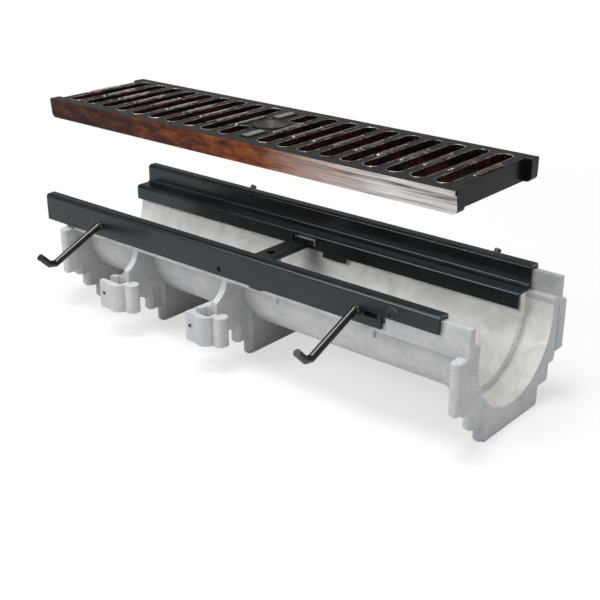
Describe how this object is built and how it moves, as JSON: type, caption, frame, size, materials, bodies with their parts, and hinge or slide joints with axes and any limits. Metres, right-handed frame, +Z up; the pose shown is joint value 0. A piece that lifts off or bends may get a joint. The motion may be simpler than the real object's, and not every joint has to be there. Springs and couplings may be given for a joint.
{
  "type": "channel drain",
  "caption": "Drainage channel unit: moulded trough with steel edge rails, crossbar and anchor rods, with its slotted cast grating held above its seat.",
  "frame": {"origin": "under the feet, at the middle of the whole part's bounding box", "axes": "+X along the channel towards the socket end, +Y across it towards the rear rail, +Z up"},
  "size_m": [0.528, 0.316, 0.2208],
  "materials": {
    "trough_moulding": "marbled pale grey moulding, slightly satin",
    "coated_steel": "black dip coating, satin",
    "coated_rod": "black dip coating, glossy",
    "zinc_steel": "zinc plated",
    "dipped_iron": "black bitumen dip, glossy"
  },
  "bodies": {
    "root": {"channel_body": "trough_moulding", "rear_rail": "coated_steel", "front_rail": "coated_steel", "crossbar": "coated_steel", "lock_nut": "zinc_steel", "anchor_rear_right": "coated_rod", "anchor_rear_left": "coated_rod", "anchor_front_right": "coated_rod", "anchor_front_left": "coated_rod", "grating": "dipped_iron"}
  },
  "joints": []
}
